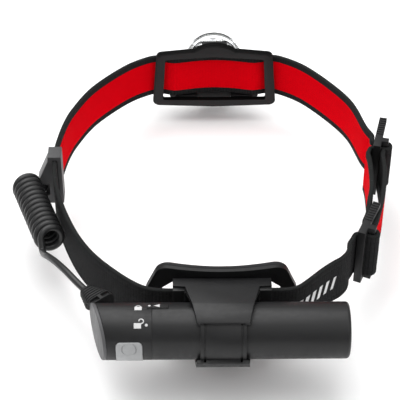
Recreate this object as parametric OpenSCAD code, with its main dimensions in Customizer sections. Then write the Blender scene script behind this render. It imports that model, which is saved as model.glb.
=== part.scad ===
// Headlamp: lamp head on a forehead frame, webbing headband, battery barrel in a cradle
// at the back of the head, and a curly lead along the left side.
// Frame: origin at the centre of the head opening, halfway up the webbing.
// +Y is forward (the beam), +X is the wearer's right, +Z is up.

/* [Webbing] */
// Width of the webbing
strap_w = 25; // [22:0.5:26]
// Thickness of the webbing
strap_t = 2.2; // [1.6:0.1:2.2]

/* [Battery barrel] */
// Outer radius of the barrel and of its cap
barrel_r = 12.45; // [12.45:0.05:12.5]
// Right-hand end of the barrel along X
barrel_end_x = 54.9; // [52:0.1:60]
// Joint line between the barrel and the cap along X
joint_x = -30.6; // [-31:0.1:-30]
// Radius of the cell
cell_r = 10.5; // [9:0.1:10.6]
// Length of the cell
cell_len = 70; // [65:1:72]
// Twist between the closed mark and the open mark
twist_angle = 46; // [30:1:60]

/* [Lamp head] */
// Radius of the lens
lens_r = 15; // [14:0.1:15]
// Front face of the lens along Y, at the wide-beam end of its travel
lens_front_y = 105.5; // [102:0.5:107]
// Height of the lens axis
lens_z = -0.9; // [-1:0.1:0]

/* [Lead] */
// Radius of the lead
lead_r = 1.6; // [1.4:0.1:1.6]
// Outer radius of the curly stretch
coil_r = 7.4; // [6:0.1:7.4]

/* [Buckles] */
// Height of a buckle
buckle_h = 31.4; // [30:0.1:34]
// Length of a buckle along the webbing
buckle_len = 23.4; // [22:0.1:25]
// Thickness of a buckle
buckle_t = 3.7; // [3.2:0.1:4]

/* [Hidden] */
$fn = 64;
e = 0.01;

// Barrel axis
barrel_y = -112.1;
barrel_z = 5.1;
bore_r = 10.75;
spigot_r = 11.55;
spigot_len = 3.6;
socket_r = 11.6;
// Slant of the cap's left end: it reaches further left towards the head
end_x = -51.5;
end_slant = 16;
cover_t = 1.5;
// Angles round the barrel, measured from -Y towards +Z
closed_angle = 104;
open_angle = closed_angle - twist_angle;
button_angle = -16;

// Route of the webbing: middle of its thickness, seen from above
mid_t = strap_t / 2;
front_y = 85.4;
rear_y = -93.7;
clip_x = -79.7;
strap_front_left = [[clip_x, 0.01], [clip_x, 2], [clip_x, 4], [-79, 12], [-76.5, 26], [-72.5, 38.5],
    [-63.5, 56.2], [-48, 74], [-36, 82.4], [-29, 84.1], [-24, 83.1], [-20.8, 82.7],
    [-16, 83.5], [-9, 84.8], [0, front_y]];
strap_front_right = [[9, 84.8], [16, 83.5], [20.8, 82.7], [24, 83.1], [29, 84.1], [36, 82.4],
    [48, 73.6], [61.5, 56.4], [69.8, 41.5],
    [74.6, 23]];
strap_left_rear = [[clip_x, 0], [clip_x, -2], [clip_x, -4], [-79.2, -12], [-77, -26], [-73, -40],
    [-67.4, -54.4], [-61.5, -65.3], [-55.4, -73.6], [-47.4, -82], [-40.6, -88],
    [-33.5, -92.3], [-24, rear_y], [0, rear_y]];
strap_rear_right = [[24, rear_y], [30, -93.5], [34.6, -91.7], [39.4, -87.4], [45.7, -81.1],
    [51.1, -76.5], [54.4, -74.1], [57.3, -70.7], [58.8, -67.2], [59.2, -63.8]];

// The two buckles are the same part, placed at the two ends of the doubled webbing.
// A buckle's own axes: s runs forward along it, n points away from the head.
ladder_at = [62.9, -60.4];
ladder_turn = 23.5;
slider_at = [76.4, 2.6];
slider_turn = 14;
rail_h = (buckle_h - strap_w) / 2 - 0.15;
rear_bar = 2.2;
raised_s = 5;
raised_w = 1.8;
raised_n = 4.7;
raised_t = 1.8;
loop_s = 13.4;
loop_w = 2.4;

// Tilt axis of the lamp head
tilt_y = 93;
tilt_z = -20.6;
plate_y = 87;
plate_t = 2;

// Rear pad: a curved frame, centred on a vertical line well in front of it
pad_centre_y = 23.5;
pad_r = 112;

// Strain-relief boot: where it leaves the cap, and its direction seen from above
boot_at = [-53.2, -100.6, 9.6];
boot_turn = 130;

// Route of the lead where it isn't coiled
coil_far = [-94.4, -8.4, 2];
coil_near = [-78.8, -51.2, 2];
lead_rear_points = [[-60.6, -91.6, 10], [-65, -86.3, 10.4], [-70, -79.3, 10.2],
    [-75, -71.4, 8.2], [-79.3, -64.2, 5], [-81.7, -59.2, 1.9], [-83, -55.4, 1],
    [-84.2, -51.8, 1]];
lead_front_points = [[-93.8, -10, -3.4], [-90.4, -9.2, -3.9], [-87.4, -7.5, -4.4],
    [-85.6, -4.8, -4.7], [-85.3, -1, -4.5], [-85.3, 5, -4.4], [-83.8, 13, -4],
    [-81.4, 25, -3.4], [-77.2, 37.4, -3], [-67.4, 58.6, -3], [-51, 77.2, -4.4],
    [-38.4, 86.8, -7], [-28.6, 90.8, -12], [-22, 91.5, -16.1], [-15.5, 91.5, -16.1]];

// Along X or Y instead of Z
module along_x() {
    rotate([0, 90, 0])
        children();
}
module along_y() {
    rotate([-90, 0, 0])
        children();
}
// From x0 to x1 on the barrel's axis
module barrel_rod(r, x0, x1) {
    translate([x0, barrel_y, barrel_z])
        along_x()
            cylinder(r = r, h = x1 - x0);
}
// From y0 to y1 on the lens's axis
module lens_rod(r, y0, y1) {
    translate([0, y0, lens_z])
        along_y()
            cylinder(r = r, h = y1 - y0);
}
// An outline in X and Z, drawn from y0 to y1
module slab_y(y0, y1) {
    translate([0, y1, 0])
        rotate([90, 0, 0])
            linear_extrude(y1 - y0)
                children();
}
// An outline in Y and Z, drawn over x0 to x1
module slab_x(x0, x1) {
    translate([x0, 0, 0])
        rotate([90, 0, 90])
            linear_extrude(x1 - x0)
                children();
}

// Points on an arc
function arc(c, r, a0, a1, n = 8) =
    [for (i = [0:n]) c + r * [cos(a0 + (a1 - a0) * i / n), sin(a0 + (a1 - a0) * i / n)]];
// A polygon's corners rounded to radius r, with n points along each
function unit(v) = v / norm(v);
function round_corner(a, b, c, r, n) =
    let (u = unit(a - b), v = unit(c - b), half = acos(u * v) / 2,
        m = unit(u + v) * r / sin(half), p = b + u * (r / tan(half)),
        q = b + v * (r / tan(half)), o = b + m,
        a0 = atan2(p[1] - o[1], p[0] - o[0]), a1 = atan2(q[1] - o[1], q[0] - o[0]),
        d = a1 - a0, turn = d > 180 ? d - 360 : d < -180 ? d + 360 : d)
    arc(o, r, a0, a0 + turn, n);
function rounded(p, r, n = 4) =
    [for (i = [0:len(p) - 1])
        each round_corner(p[(i + len(p) - 1) % len(p)], p[i], p[(i + 1) % len(p)], r, n)];
function mirrored(p) = [each p, for (i = [len(p) - 1:-1:0]) [-p[i][0], p[i][1]]];
function reversed(p) = [for (i = [len(p) - 1:-1:0]) p[i]];

// A smooth run through hand-set points (in 2-D or 3-D), n steps between two points
function spline_at(a, b, c, d, t) =
    0.5 * (2 * b + (c - a) * t + (2 * a - 5 * b + 4 * c - d) * t * t
        + (3 * b - a - 3 * c + d) * t * t * t);
function smooth(p, n) =
    let (last = len(p) - 1)
    [for (i = [0:last - 1]) each
        let (a = p[max(i - 1, 0)], b = p[i], c = p[i + 1], d = p[min(i + 2, last)])
        [for (k = [0:n - 1]) spline_at(a, b, c, d, k / n)],
        p[last]];
function tangent(p, i) = unit(p[min(i + 1, len(p) - 1)] - p[max(i - 1, 0)]);
// One edge of a band that follows a run, w to its left
function edge(p, w) =
    [for (i = [0:len(p) - 1]) let (t = tangent(p, i)) p[i] + w * [-t[1], t[0]]];
module webbing(run) {
    translate([0, 0, -strap_w / 2])
        linear_extrude(strap_w)
            polygon([each edge(run, mid_t), each reversed(edge(run, -mid_t))]);
}
// Place on a buckle, seen from above
function on_buckle(at, turn, s, n) =
    at + s * [sin(turn), cos(turn)] + n * [cos(turn), -sin(turn)];

// A round tube along a smooth run, with sides on its section
function ring_points(c, t, r, sides) =
    let (u = unit(cross(t, [0, 0, 1])), v = cross(u, t))
    [for (k = [0:sides - 1]) c + r * (cos(360 * k / sides) * u + sin(360 * k / sides) * v)];
module tube(run, r, sides = 8) {
    rings = len(run);
    points = [for (i = [0:rings - 1]) each ring_points(run[i], tangent(run, i), r, sides)];
    walls = [for (i = [0:rings - 2], k = [0:sides - 1], half = [0:1])
        let (a = i * sides + k, b = i * sides + (k + 1) % sides)
        half == 0 ? [a, b, b + sides] : [a, b + sides, a + sides]];
    near_end = [for (k = [sides - 1:-1:0]) k];
    far_end = [for (k = [0:sides - 1]) (rings - 1) * sides + k];
    polyhedron(points, concat(walls, [near_end, far_end]), convexity = 8);
}

// ---- Webbing ----

// Past a buckle's rear bar, out through its slot and over its raised bar
bend_r = 2.25;
wrap_r = 2.45;
function round_bar(place) =
    let (wrap = [raised_s + raised_w / 2, raised_n + raised_t / 2])
    [for (p = [each arc([1.3, 0.6], bend_r, 270, 360, 3), [3.52, 2], [3.46, 3.8],
        each arc(wrap, wrap_r, 180, 0, 6), wrap + [wrap_r, -1.4], wrap + [wrap_r, -2.8]])
        place(p[0], p[1])];

// From the clip round the back of the head to the ladder buckle, over its raised bar
module strap_rear_run() {
    b = function(s, n) on_buckle(ladder_at, ladder_turn, s, n);
    over = [b(-1.5, -1.8), b(0, -1.72), each round_bar(b), b(8.35, 1.2)];
    color("#1a1a1a")
        webbing(smooth([each reversed(over), each reversed(strap_rear_right),
            each reversed(strap_left_rear)], 4));
}
// From the clip round the forehead, over the slider's raised bar, back to the ladder
// buckle, round its loop bar and forward again to the slider's rear bar
module strap_front_run() {
    a = function(s, n) on_buckle(slider_at, slider_turn, s, n);
    b = function(s, n) on_buckle(ladder_at, ladder_turn, s, n);
    over = [a(13, -2.1), for (p = arc([10.6, 0.4], bend_r, 270, 180, 3)) a(p[0], p[1]),
        each reversed(round_bar(a)), a(0, -1.72), a(-1.6, -1.9)];
    inner = [[74.5, -3.6], [74.3, -14], [73.4, -24], [71.4, -33]];
    turn = [b(20, -1.1), b(16.4, -0.7), for (p = arc([loop_s, 1.8], 2.4, 270, 90, 6)) b(p[0], p[1]),
        b(17, 4.3)];
    outer = [[77.4, -33], [79.6, -22], [81, -10.5], [81.2, -3], a(-0.2, 5), a(2.2, 5)];
    color("#c8102e")
        webbing(smooth([each strap_front_left, each strap_front_right, each over,
            each inner, each turn, each outer], 4));
}

// ---- Forehead frame and lamp bracket ----

frame_outline = rounded(mirrored([[12.6, 18.2], [30.9, 16.2], [33.5, -17.5], [1, -18.7]]), 3, 6);
frame_window = rounded(mirrored([[0.5, 14.6], [26.2, 12.8], [27.8, -13.6], [0.5, -13.9]]), 1, 4);
bump_r = 18;
bump_z = 22.1 - bump_r;
frame_front = 82.2;
module frame_shape(inset) {
    difference() {
        union() {
            polygon([for (p = frame_outline) p * (1 - inset / 26)]);
            intersection() {
                translate([0, bump_z - inset])
                    circle(r = bump_r, $fn = 128);
                translate([-13.6, 10])
                    square([27.2, 20]);
            }
        }
        polygon(frame_window);
    }
}
screw_spots = [[-4.4, 16.4], [4.4, 16.4], [-15, -15.8], [15, -15.8]];
module front_frame() {
    color("#2b2b2d")
        difference() {
            union() {
                slab_y(80.2, frame_front)
                    frame_shape(0);
                slab_y(79.6, 80.2 + e)
                    frame_shape(0.4);
                slab_y(79.2, 79.6 + e)
                    frame_shape(0.9);
            }
            for (p = screw_spots)
                translate([p[0], 80.4, p[1]])
                    along_y()
                        cylinder(r = 0.8, h = 3);
        }
}
// Plate on the outer side of the webbing, with a foot over and a foot under the webbing
// that reach the frame, and two ears that carry the lamp head
ear_x = 6.7;
ear_t = 2.4;
ear_r = 3;
pin_r = 1.2;
module lamp_bracket() {
    plate = rounded(mirrored([[12, 12], [24.6, 10], [24.6, -12.7], [24, -17.6]]), 1.2, 3);
    color("#222224")
        difference() {
            union() {
                slab_y(plate_y, plate_y + plate_t)
                    polygon(plate);
                lens_rod(14.6, plate_y, plate_y + plate_t);
                translate([-6.6, frame_front, 12.9])
                    cube([13.2, plate_y - frame_front + plate_t, 5.3]);
                for (s = [-1, 1])
                    translate([s * 15 - 6, frame_front, -17.6])
                        cube([12, plate_y - frame_front + e, 4.7]);
                for (s = [-1, 1])
                    translate([s > 0 ? ear_x : -ear_x - ear_t, 0, 0])
                        slab_x(0, ear_t) {
                            translate([tilt_y, tilt_z])
                                circle(r = ear_r);
                            polygon([[plate_y, -13], [plate_y + plate_t, -13],
                                [plate_y + plate_t + 0.1, -16.4], [tilt_y, tilt_z + ear_r],
                                [tilt_y - 1.6, tilt_z - 2.54], [plate_y, -17.6]]);
                        }
            }
            translate([-12, tilt_y, tilt_z])
                along_x()
                    cylinder(r = pin_r + 0.05, h = 24);
            for (p = screw_spots)
                translate([p[0], 80, p[1]])
                    along_y() {
                        cylinder(r = 0.85, h = 10);
                        translate([0, 0, plate_y + plate_t - 80 - 0.9])
                            cylinder(r = 1.35, h = 5);
                    }
        }
}
module bracket_screws() {
    color("#9a9a9c")
        for (p = screw_spots)
            translate([p[0], 80.6, p[1]])
                along_y()
                    difference() {
                        union() {
                            cylinder(r = 0.8, h = 8);
                            translate([0, 0, plate_y + plate_t - 80.6 - 0.9])
                                cylinder(r = 1.3, h = 0.85);
                        }
                        translate([0, 0, plate_y + plate_t - 80.6 - 0.45])
                            cylinder(r = 0.7, h = 1, $fn = 6);
                    }
}
module tilt_pin() {
    color("#b8b8ba")
        translate([-9.6, tilt_y, tilt_z])
            along_x() {
                cylinder(r = pin_r, h = 19.2);
                translate([0, 0, -0.8])
                    cylinder(r = 2, h = 0.8);
            }
}
module tilt_washers() {
    color("#c9c9cb")
        for (x = [-6.65, 6.15])
            translate([x, tilt_y, tilt_z])
                along_x()
                    difference() {
                        cylinder(r = 2.5, h = 0.5);
                        translate([0, 0, -1])
                            cylinder(r = pin_r + 0.05, h = 3);
                    }
}

// ---- Lamp head ----

house_r = 14.4;
house_y = 89.4;
house_front = 91.9;
cavity_r = 12.85;
cavity_y = 90.3;
ring_r = 13.4;
neck_r = 11.8;
gland_z = -16.1;
cover_screw_r = 7.9;
cover_spots = [90, 210, 330];
module at_cover_screw(r) {
    for (a = cover_spots)
        translate([r * cos(a), 0, lens_z + r * sin(a)])
            children();
}
module lamp_housing() {
    block = 2.2;
    color("#303033")
        difference() {
            union() {
                lens_rod(house_r, house_y, house_front);
                translate([-6.1, tilt_y, tilt_z])
                    along_x()
                        cylinder(r = 2.7, h = 12.2);
                slab_x(-6.1, 6.1)
                    polygon([[house_y + 0.1, -12.5], [house_front, -12.5], [house_front, -15],
                        [92.9, -16.4], [92.9, -17.6], [tilt_y + 2.4, tilt_z + 1.2],
                        [tilt_y - 2.3, tilt_z - 1.4]]);
                // Block that takes the lead's gland, and the web that carries it
                translate([-14, house_y, gland_z - block])
                    cube([4.7, 4.2, 2 * block]);
                translate([-12, house_y, gland_z])
                    cube([2.7, house_front - house_y, 7.5]);
            }
            lens_rod(cavity_r, cavity_y, 96);
            lens_rod(cavity_r + 0.6, 90.9, 91.5);
            lens_rod(10.35, 80, 92);
            translate([-12, tilt_y, tilt_z])
                along_x()
                    cylinder(r = pin_r + 0.05, h = 24);
            translate([-20, 91.5, gland_z])
                along_x()
                    cylinder(r = 1.9, h = 9.6);
            translate([-10.9, 90.75, gland_z])
                cylinder(r = 0.7, h = 9.5);
        }
}
module lamp_rear_cover() {
    color("#29292b")
        difference() {
            lens_rod(10.3, 89.1, 90.25);
            at_cover_screw(cover_screw_r)
                translate([0, 80, 0])
                    along_y() {
                        cylinder(r = 0.85, h = 12);
                        cylinder(r = 1.65, h = 9.9);
                    }
        }
}
module lamp_cover_screws() {
    color("#9a9a9c")
        at_cover_screw(cover_screw_r)
            translate([0, 89.3, 0])
                along_y()
                    difference() {
                        union() {
                            cylinder(r = 1.55, h = 0.55);
                            cylinder(r = 0.8, h = 1.5);
                        }
                        translate([0, 0, -e])
                            cylinder(r = 0.6, h = 0.3, $fn = 6);
                    }
}
module led_board() {
    color("#e9e9e4")
        difference() {
            lens_rod(neck_r, cavity_y + 0.02, 91.1);
            at_cover_screw(cover_screw_r)
                translate([0, 80, 0])
                    along_y()
                        cylinder(r = 0.85, h = 20);
        }
}
module led_emitter() {
    half = 2.3;
    color("#f2d23a") {
        translate([-half, 91.1, lens_z - half])
            cube([2 * half, 0.7, 2 * half]);
        intersection() {
            translate([0, 91.4, lens_z])
                sphere(r = 2.1);
            lens_rod(3, 91.79, 94);
        }
    }
}
module focus_ring() {
    rib_r = 0.45;
    color("#1f1f21")
        difference() {
            union() {
                lens_rod(ring_r, 92, 93.2);
                lens_rod(cavity_r - 0.05, 91, 92 + e);
                for (i = [0:35])
                    translate([ring_r * cos(i * 10), 92.1, lens_z + ring_r * sin(i * 10)])
                        along_y()
                            cylinder(r = rib_r, h = 1, $fn = 16);
            }
            lens_rod(neck_r + 0.1, 80, 99);
        }
}
module focus_seal() {
    color("#3a3a3c")
        translate([0, 91.2, lens_z])
            along_y()
                rotate_extrude()
                    translate([cavity_r + 0.28, 0])
                        circle(r = 0.29, $fn = 24);
}
// Clear lens: a neck inside the focus ring, a straight skirt that rounds into the front
// face, a round recess in the front and a cavity behind for the emitter
module front_lens() {
    dome_r = 3;
    front = lens_front_y - 93.3;
    neck = -2.05;
    profile = [[0, 3.4], [3.2, 2], [3.6, neck], [neck_r, neck], [neck_r, 0], [12.4, 0],
        [lens_r, 1],
        each arc([lens_r - dome_r, front - dome_r], dome_r, 0, 90, 8),
        [7.4, front], [6.6, front - 2], [0, front - 3]];
    color([0.85, 0.9, 0.92, 0.6])
        translate([0, 93.3, lens_z])
            along_y()
                rotate_extrude($fn = 96)
                    polygon(profile);
}
module lamp_gland() {
    color("#252527")
        translate([-15.4, 91.5, gland_z])
            along_x() {
                cylinder(r = 1.88, h = 4.8);
                translate([0, 0, 0.1])
                    cylinder(r = 2.2, h = 1.2);
            }
}

// ---- Rear pad ----

pad_outline = rounded(mirrored([[28, 17.9], [34.2, 1.8], [34.2, -1.8], [28, -17.9]]), 7, 8);
pad_window = rounded(mirrored([[21.4, 10.4], [26.6, 5.4], [26.6, -5.4], [21.4, -10.4]]), 1, 3);
module pad_layer(outer, inner, trim) {
    intersection() {
        translate([0, pad_centre_y, -40])
            difference() {
                cylinder(r = pad_r - inner, h = 80, $fn = 256);
                translate([0, 0, -1])
                    cylinder(r = pad_r - outer, h = 82, $fn = 256);
            }
        slab_y(-95, -70)
            difference() {
                polygon([for (p = pad_outline) p - trim * unit(p)]);
                polygon(pad_window);
            }
    }
}
pad_screws = [[-16, -15.1], [16, -15.1]];
module rear_pad_carrier() {
    color("#29292b")
        difference() {
            pad_layer(2, 0, 0);
            for (p = pad_screws)
                translate([p[0], -96, p[1]])
                    along_y() {
                        cylinder(r = 1.15, h = 12);
                        translate([0, 0, 8.35])
                            cylinder(r = 2.1, h = 6);
                    }
        }
}
module rear_pad_cushion() {
    color("#343436")
        difference() {
            pad_layer(4.4, 2.05, 0);
            for (p = pad_screws)
                translate([p[0], -96, p[1]])
                    along_y()
                        cylinder(r = 2.1, h = 16);
        }
}
module rear_pad_lining() {
    color("#b01022")
        pad_layer(5, 4.45, 1.2);
}

// ---- Cradle ----

band_r = 14.1;
saddle_r = 15.8;
module cradle() {
    shoulder_y = -88.9;
    base_y = -95;
    // Side view of the top saddle
    saddle = [[shoulder_y, 12.8], [shoulder_y, 14.4], [-92, 15.2],
        each arc([barrel_y, barrel_z], saddle_r, 84, 122, 10),
        each arc([barrel_y, barrel_z], band_r - 0.2, 125, 60, 8), [base_y, 12], [base_y, 12.8]];
    saddle_plan = [[-21.8, -80], [-21.8, -95.4], [-16.4, -96], [-11.2, -121], [-9.9, -130],
        [9.9, -130], [11.2, -121], [16.4, -96], [21.8, -95.4], [21.8, -80]];
    lip = [[shoulder_y, -13.2], [base_y, -13.2], [base_y, -8], [-103, -6],
        each arc([barrel_y, barrel_z], band_r - 0.2, 240, 198, 6),
        each arc([barrel_y, barrel_z], saddle_r, 198, 250, 8), [-108, -13.4], [-96, -17.6],
        [shoulder_y, -17.6]];
    lip_plan = [[-21.8, -80], [-21.8, -95.4], [-14, -98], [-12, -118], [-11.2, -130],
        [11.2, -130], [12, -118], [14, -98], [21.8, -95.4], [21.8, -80]];
    color("#2e2e30")
        difference() {
            union() {
                barrel_rod(band_r, -9.9, 9.9);
                intersection() {
                    slab_x(-30, 30)
                        polygon(saddle);
                    linear_extrude(40)
                        polygon(saddle_plan);
                }
                intersection() {
                    slab_x(-30, 30)
                        polygon(lip);
                    translate([0, 0, -40])
                        linear_extrude(42)
                            polygon(lip_plan);
                }
                for (s = [-1, 1])
                    translate([s * 19.1 - 2.7, base_y - 2.4, -15])
                        cube([5.4, 2.4, 30]);
                translate([-16.5, base_y - 3, -14])
                    cube([33, 3, 5]);
                translate([-16.5, base_y - 3, 9.5])
                    cube([33, 3, 5]);
                translate([-9.9, base_y - 3.6, -14])
                    cube([19.8, 3.6, 28]);
            }
            barrel_rod(barrel_r + 0.06, -40, 40);
            // Two shallow grooves near the band's edges
            for (s = [-1, 1])
                difference() {
                    barrel_rod(band_r + 1, s * 7.9 - 0.4, s * 7.9 + 0.4);
                    barrel_rod(band_r - 0.4, -10, 10);
                    translate([-12, -110, -20])
                        cube([24, 30, 50]);
                }
            // The pad's back sits against the shoulders
            translate([0, pad_centre_y, -30])
                cylinder(r = pad_r + 0.05, h = 60, $fn = 256);
            for (p = pad_screws)
                translate([p[0], -94.5, p[1]])
                    along_y()
                        cylinder(r = 1.1, h = 10);
        }
}
module cradle_screws() {
    color("#9a9a9c")
        for (p = pad_screws)
            translate([p[0], -94.3, p[1]])
                along_y()
                    difference() {
                        union() {
                            cylinder(r = 1.1, h = 7.2);
                            translate([0, 0, 6.7])
                                cylinder(r = 2, h = 1.2);
                        }
                        translate([0, 0, 7.3])
                            cylinder(r = 0.9, h = 1, $fn = 6);
                    }
}

// ---- Battery barrel and cap ----

// Places its children at an angle round the barrel, with their +Z outwards
module on_barrel(x, a) {
    translate([x, barrel_y, barrel_z])
        rotate([90 - a, 0, 0])
            children();
}
module battery_barrel() {
    edge_r = 1.6;
    color("#3a3a3c")
        difference() {
            union() {
                translate([joint_x, barrel_y, barrel_z])
                    along_x()
                        rotate_extrude()
                            polygon([[0, 0], [barrel_r, 0],
                                each arc([barrel_r - edge_r, barrel_end_x - joint_x - edge_r],
                                    edge_r, 0, 90, 6),
                                [0, barrel_end_x - joint_x]]);
                barrel_rod(spigot_r, joint_x - spigot_len, joint_x + e);
                on_barrel(joint_x, closed_angle)
                    translate([0.02, -1.5, 11.6])
                        cube([7, 3, 1.25]);
            }
            barrel_rod(bore_r, joint_x - 10, 50);
            // Groove for the seal
            difference() {
                barrel_rod(spigot_r + 1, -33, -32.2);
                barrel_rod(spigot_r - 0.5, -34, -31);
            }
        }
}
module barrel_seal() {
    color("#55251f")
        translate([-32.6, barrel_y, barrel_z])
            along_x()
                rotate_extrude()
                    translate([spigot_r - 0.25, 0])
                        circle(r = 0.24, $fn = 16);
}
module battery_cell() {
    x0 = joint_x - 3.4;
    color("#2a6f4e") {
        barrel_rod(cell_r, x0, x0 + cell_len - 0.5);
        barrel_rod(3.4, x0 - 1.2, x0 + e);
    }
}
// Cone spring between the cell and the barrel's closed end
module contact_spring() {
    turns = 4;
    steps = 14;
    x0 = joint_x - 3.4 + cell_len - 0.5;
    wire = 0.5;
    length = 50 - x0 - 2 * wire;
    run = [for (i = [0:turns * steps]) let (f = i / (turns * steps), r = 4.6 + 4.4 * f)
        [x0 + wire + length * f, barrel_y + r * cos(360 * i / steps),
            barrel_z + r * sin(360 * i / steps)]];
    color("#c9a33a")
        tube(run, wire - 0.02, 6);
}
// Half-space behind the slanted end, moved inwards by d
module slant_cut(d) {
    translate([end_x, barrel_y - barrel_r, barrel_z])
        rotate([0, 0, end_slant])
            translate([-60 + d, -30, -30])
                cube([60, 80, 60]);
}
button_w = 11.4;
button_h = 15.6;
module button_prism(grow, h) {
    on_barrel(-40.5, button_angle)
        linear_extrude(h)
            polygon(rounded([[-button_w / 2 - grow, -button_h / 2 - grow],
                [button_w / 2 + grow, -button_h / 2 - grow],
                [button_w / 2 + grow, button_h / 2 + grow],
                [-button_w / 2 - grow, button_h / 2 + grow]], 1.8, 4));
}
module battery_cap() {
    color("#353537")
        difference() {
            union() {
                barrel_rod(barrel_r, -70, joint_x - 0.05);
                on_barrel(joint_x, closed_angle)
                    translate([-2.2, -1.5, 11.9])
                        cube([2.14, 3, 0.95]);
            }
            slant_cut(cover_t);
            barrel_rod(socket_r, joint_x - spigot_len - 0.3, joint_x + 5);
            intersection() {
                barrel_rod(10.9, -70, joint_x);
                difference() {
                    barrel_rod(20, -70, joint_x);
                    slant_cut(cover_t - 0.01);
                }
            }
            button_prism(0.12, 20);
            // Entry of the lead
            boot_place()
                boot_bore(lead_r + 0.05, -8);
        }
}
module cap_end_cover() {
    color("#4a4a4d")
        intersection() {
            barrel_rod(barrel_r, -70, -40);
            difference() {
                slant_cut(cover_t - 0.02);
                slant_cut(0);
            }
        }
}
module front_contact() {
    color("#c9a33a") {
        barrel_rod(8, -36.5, -36);
        barrel_rod(2, -36, joint_x - 3.4 - 1.25);
    }
}
module driver_board() {
    color("#1d5c36")
        on_barrel(-44, button_angle)
            translate([-5, -7, 4.4])
                cube([12, 14, 1.2]);
}
module button_switch() {
    color("#1b1b1b")
        on_barrel(-40.5, button_angle) {
            translate([-3, -3, 5.6])
                cube([6, 6, 3]);
            translate([0, 0, 8.6])
                cylinder(r = 1.6, h = 1.4);
        }
}
module power_button() {
    color("#a5a7a9")
        difference() {
            intersection() {
                button_prism(0, 20);
                difference() {
                    barrel_rod(barrel_r + 0.3, -50, -30);
                    barrel_rod(11, -52, -28);
                }
            }
            on_barrel(-40.5, 7.4)
                translate([0, 0, barrel_r - 0.05])
                    difference() {
                        cylinder(r = 3.3, h = 3);
                        translate([0, 0, -1])
                            cylinder(r = 2.9, h = 6);
                    }
        }
}
// A thin mark that follows the barrel's surface
module barrel_print(x, a, r0, r1) {
    intersection() {
        difference() {
            barrel_rod(r1, x - 12, x + 12);
            barrel_rod(r0, x - 13, x + 13);
        }
        on_barrel(x, a)
            linear_extrude(20)
                children();
    }
}
module padlock_shape(lift, side) {
    translate([-1.6, -1.5])
        square([3.2, 2.4]);
    translate([side, 0.8 + lift])
        difference() {
            circle(r = 1.25, $fn = 32);
            circle(r = 0.75, $fn = 32);
            translate([-2, -2.6])
                square([side > 0 ? 2 : 4, 2.6]);
        }
}
module cap_marks() {
    r0 = barrel_r;
    r1 = barrel_r + 0.07;
    color("#d8d8d8") {
        barrel_print(-36.6, closed_angle - 5, r0, r1)
            padlock_shape(0, 0);
        barrel_print(-36.8, open_angle, r0, r1)
            padlock_shape(0.9, 1.6);
        barrel_print(-33, open_angle, r0, r1)
            circle(r = 0.65, $fn = 24);
        on_barrel(-31.8, closed_angle)
            translate([0, 0, 12.85])
                cylinder(r = 0.6, h = 0.06, $fn = 24);
    }
}
module barrel_mark() {
    color("#d8d8d8")
        on_barrel(-28.4, closed_angle)
            translate([0, 0, 12.85])
                linear_extrude(0.06)
                    polygon([[-1.6, 0], [1.1, 1.2], [1.1, -1.2]]);
}

// ---- Lead ----

// The boot points away from the cap, to the front and left
module boot_place() {
    translate(boot_at)
        rotate([0, 0, boot_turn])
            children();
}
module boot_bore(r, from) {
    translate([from, 0, 0])
        along_x()
            cylinder(r = r, h = 30);
}
module boot_section(x, w, h, t) {
    translate([x, 0, 0])
        rotate([90, 0, 90])
            linear_extrude(t)
                polygon(rounded([[-w / 2, -h / 2], [w / 2, -h / 2], [w / 2, h / 2],
                    [-w / 2, h / 2]], min(w, h) * 0.3, 3));
}
module strain_relief() {
    ribs = 6;
    pitch = 1.55;
    color("#2a2a2c")
        boot_place()
            difference() {
                union() {
                    boot_section(-1, 12.4, 10.4, 3.1);
                    for (i = [0:ribs - 1]) {
                        f = i / (ribs - 1);
                        boot_section(2.1 + i * pitch, 10 - 5.4 * f, 8.6 - 3.6 * f, 0.75 + e);
                        boot_section(2.85 + i * pitch, 11.2 - 5.4 * f, 9.6 - 3.8 * f,
                            pitch - 0.75 + e);
                    }
                }
                for (s = [-1, 1])
                    translate([-0.6, s * 2.9 - 2.1, 3.6])
                        cube([2.2, 4.2, 4]);
                boot_bore(lead_r, 1.5);
                seen_from_boot()
                    barrel_rod(barrel_r + 0.02, -80, -20);
            }
}
// The whole part's axes, seen from the boot's place
module seen_from_boot() {
    rotate([0, 0, -boot_turn])
        translate(-boot_at)
            children();
}
module lead_rear() {
    color("#3b3b3d")
        tube(smooth(lead_rear_points, 3), lead_r);
}
module lead_coil() {
    color("#3b3b3d")
        translate(coil_far)
            rotate([0, 0, atan2(coil_near[1] - coil_far[1], coil_near[0] - coil_far[0])])
                along_x()
                    cylinder(r = coil_r, h = norm(coil_near - coil_far));
}
module lead_front() {
    color("#3b3b3d")
        tube(smooth(lead_front_points, 3), lead_r);
}
module cable_clip() {
    h = 14.6;
    fin = rounded([[-83, 12.6], [-88.8, -1.2], [-88.8, -5], [-87.2, -9.2], [-85.9, -9.2],
        [-87.1, -4.6], [-83.2, -2.6], [-83, -2]], 0.25, 2);
    color("#4b4b4d")
        translate([0, 4.2, 0])
            rotate([90, 0, 0])
                linear_extrude(8.4)
                    difference() {
                        union() {
                            translate([-83.1, -h])
                                square([6.5, 2 * h]);
                            polygon(fin);
                            translate([-85.6, -h])
                                square([2.7, 5.2]);
                        }
                        translate([clip_x - 1.2, -strap_w / 2 - 0.1])
                            square([2.4, strap_w + 0.2]);
                        translate([-85.3, -4.5])
                            circle(r = lead_r + 0.15);
                        translate([-86.4, -9.5])
                            square([2.6, 4]);
                    }
}

// ---- Buckles ----

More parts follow.
